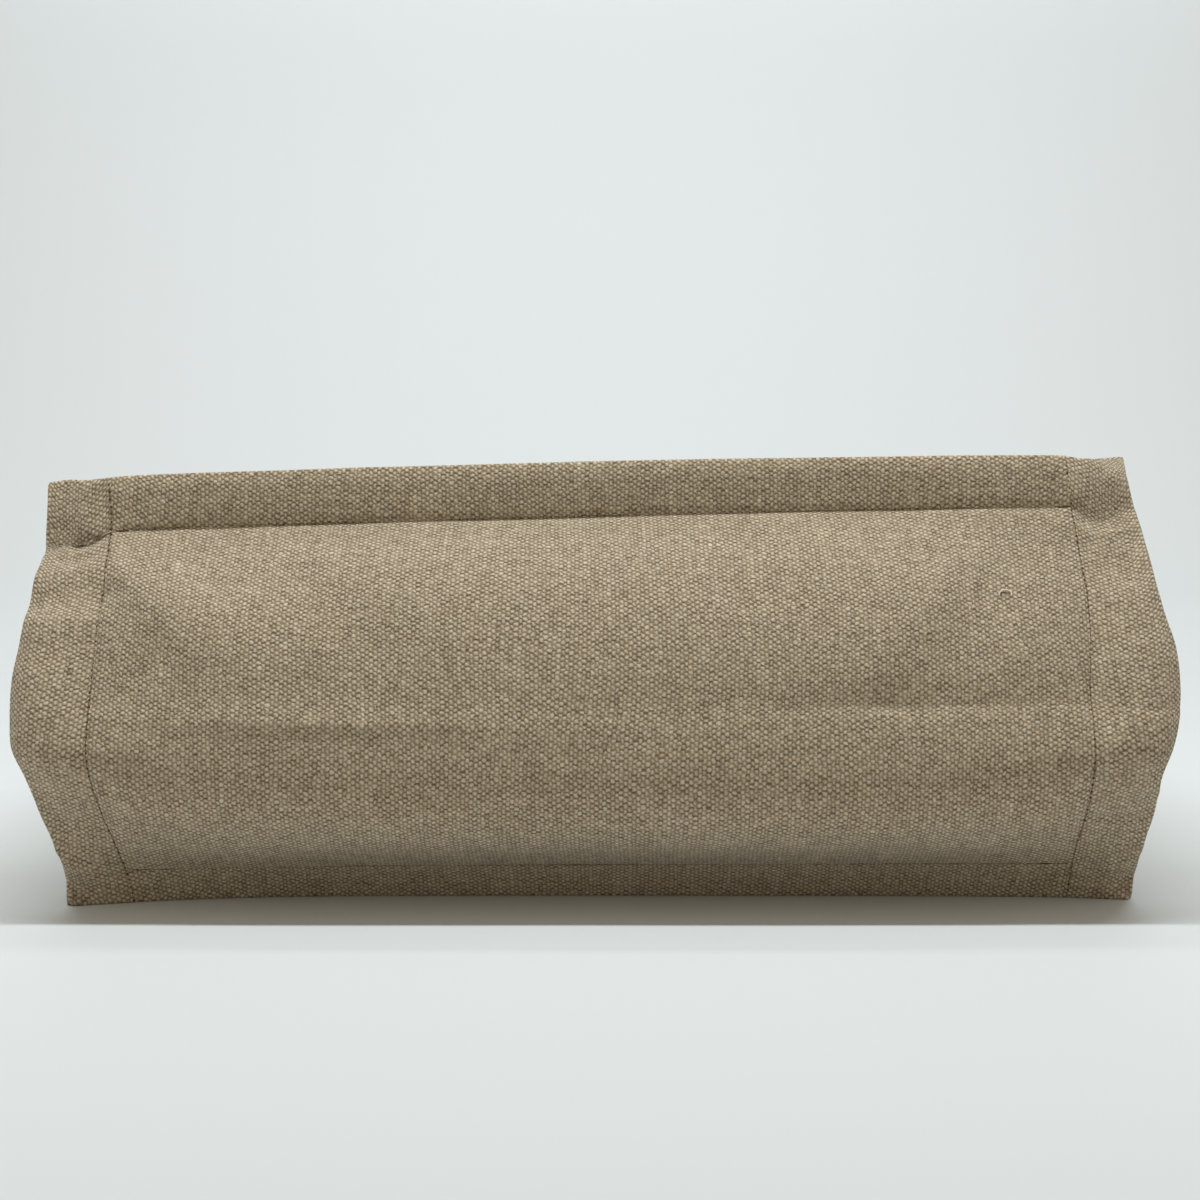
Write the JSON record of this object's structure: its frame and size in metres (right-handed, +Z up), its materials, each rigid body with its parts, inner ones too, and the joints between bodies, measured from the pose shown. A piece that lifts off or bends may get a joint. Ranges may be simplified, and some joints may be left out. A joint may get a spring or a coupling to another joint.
{
  "type": "tote bag",
  "caption": "Open-topped cloth tote with a box base and pinched, stitched edges, lying on its back with its base facing forward and two carrying straps behind.",
  "frame": {"origin": "on the floor under the middle of the whole bag as it lies on its back panel", "axes": "+X along the base, +Y from the base to the mouth and the handles, +Z up through the front panel"},
  "size_m": [0.443, 0.585, 0.1724],
  "materials": {
    "canvas": "coarse plain weave, unbleached greige",
    "strap": "folded and stitched strap of the same cloth"
  },
  "bodies": {
    "root": {"base_panel": "canvas", "front_panel": "canvas", "back_panel": "canvas", "gusset_left": "canvas", "gusset_right": "canvas", "handle_front": "strap", "handle_back": "strap"}
  },
  "joints": []
}
